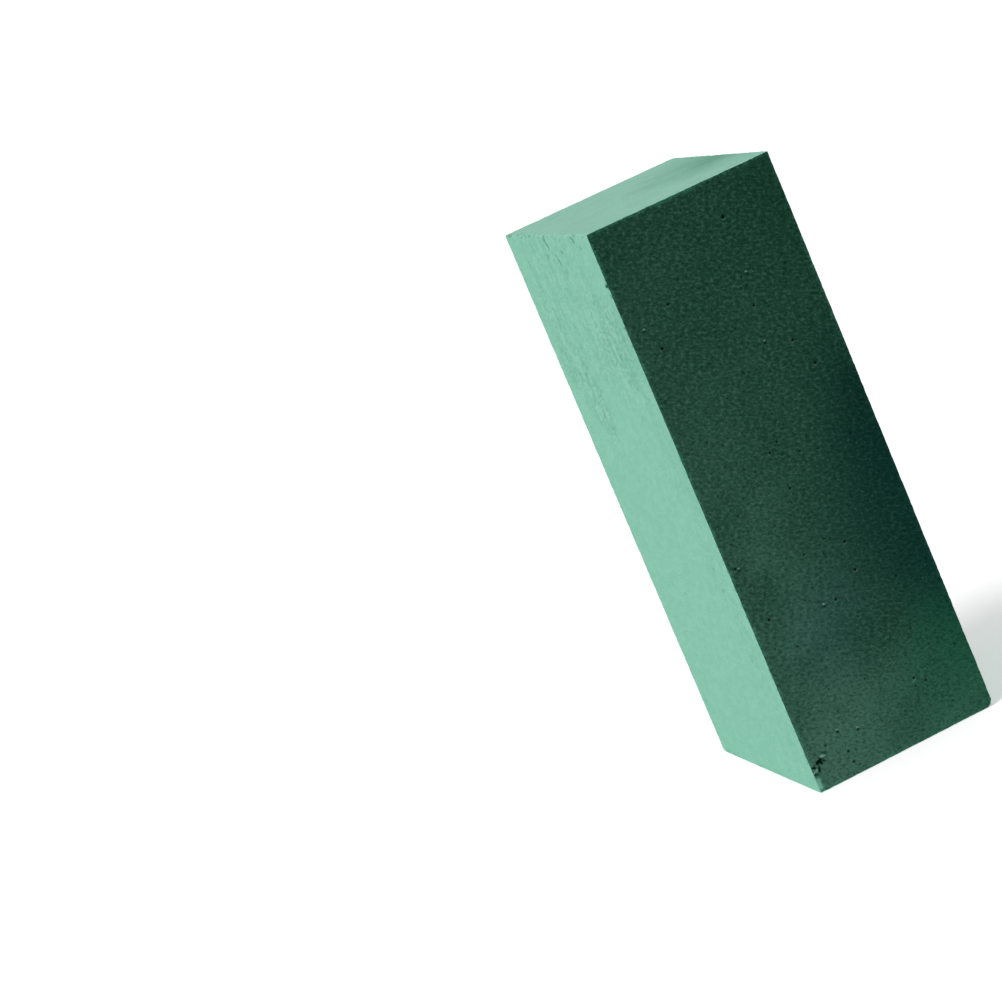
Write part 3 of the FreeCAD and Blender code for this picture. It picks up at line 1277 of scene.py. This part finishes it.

# %% [markdown]
# ### Torn foam
# Torn foam breaks cell by cell. It is green, and near black in its hollows, which is painted
# shade by their depth; its lips are pale where the light comes through their thin walls.

# %% Finish: torn foam
TORN_RELIEF_MM = 0.30
TORN_SHADE_DEPTHS = (0.20, 1.20)


def torn_finish():
    """Mid green, paler where broken foam stands up, with painted light through it, and near black with
    painted shade where it is deep.
    """
    finish, tree, shader, position = start_finish("torn_foam")
    cells = use(tree, foam_cells, Position=position, Across=0.8)
    dust = use(tree, sawdust, Position=position)
    color = lay(tree, EDGE_GREEN, [
        (dust["Fleck"], 0.20, PALE_SHADE),
        (cells["Mouth"], 0.50, DEEP_MOUTH),
        # painted light on the pale lips of broken foam
        (stored(tree, "broken_lip_and_rim_light"), 0.80, PALE_LIT_LIP),
        # painted shade: hollows are darker the deeper they are sunk
        (between(tree, stored(tree, "sunk"), *TORN_SHADE_DEPTHS), 0.80, DEEP_MOUTH),
    ])
    end_finish(tree, shader, color, cells["Relief"], TORN_RELIEF_MM, cells["Mouth"])
    return finish


torn_foam = torn_finish()
print(torn_foam.name, "has", len(torn_foam.node_tree.nodes), "nodes")

# %% Give each face its finish
FINISHES = [sawn_broad, sawn_end, open_celled, torn_foam]
FINISH_OF_AXIS = {0: 0, 1: 2, 2: 1}  # which of them a side has, by the axis that it faces along
TORN_FINISH = 3
MOSTLY = 0.5  # a face is torn when more than this share of its corners is


def dress(mesh):
    """Faces take the finish of their side, and torn faces take the torn one."""
    for finish in FINISHES:
        mesh.materials.append(finish)
    sides = read(mesh.attributes["side"].data, "value", 1, np.int32)
    chosen = np.array([FINISH_OF_AXIS[ACROSS[side]] for side in SIDES])[sides]
    starts = read(mesh.polygons, "loop_start", 1, np.int32)
    sizes = read(mesh.polygons, "loop_total", 1, np.int32)
    corners = read(mesh.loops, "vertex_index", 1, np.int32)
    chosen[np.add.reduceat(torn[corners], starts) / sizes > MOSTLY] = TORN_FINISH
    mesh.polygons.foreach_set("material_index", chosen.astype(np.int32))
    mesh.polygons.foreach_set("use_smooth", np.ones(len(chosen), bool))
    mesh.update()
    print("triangles:", int((sizes - 2).sum()), "| faces of each finish:", np.bincount(chosen))


brick = link("foam_skin", skin)
dress(skin)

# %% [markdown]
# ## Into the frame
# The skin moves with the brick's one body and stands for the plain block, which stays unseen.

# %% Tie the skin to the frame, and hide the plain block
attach(brick, "root")
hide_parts("foam_block")
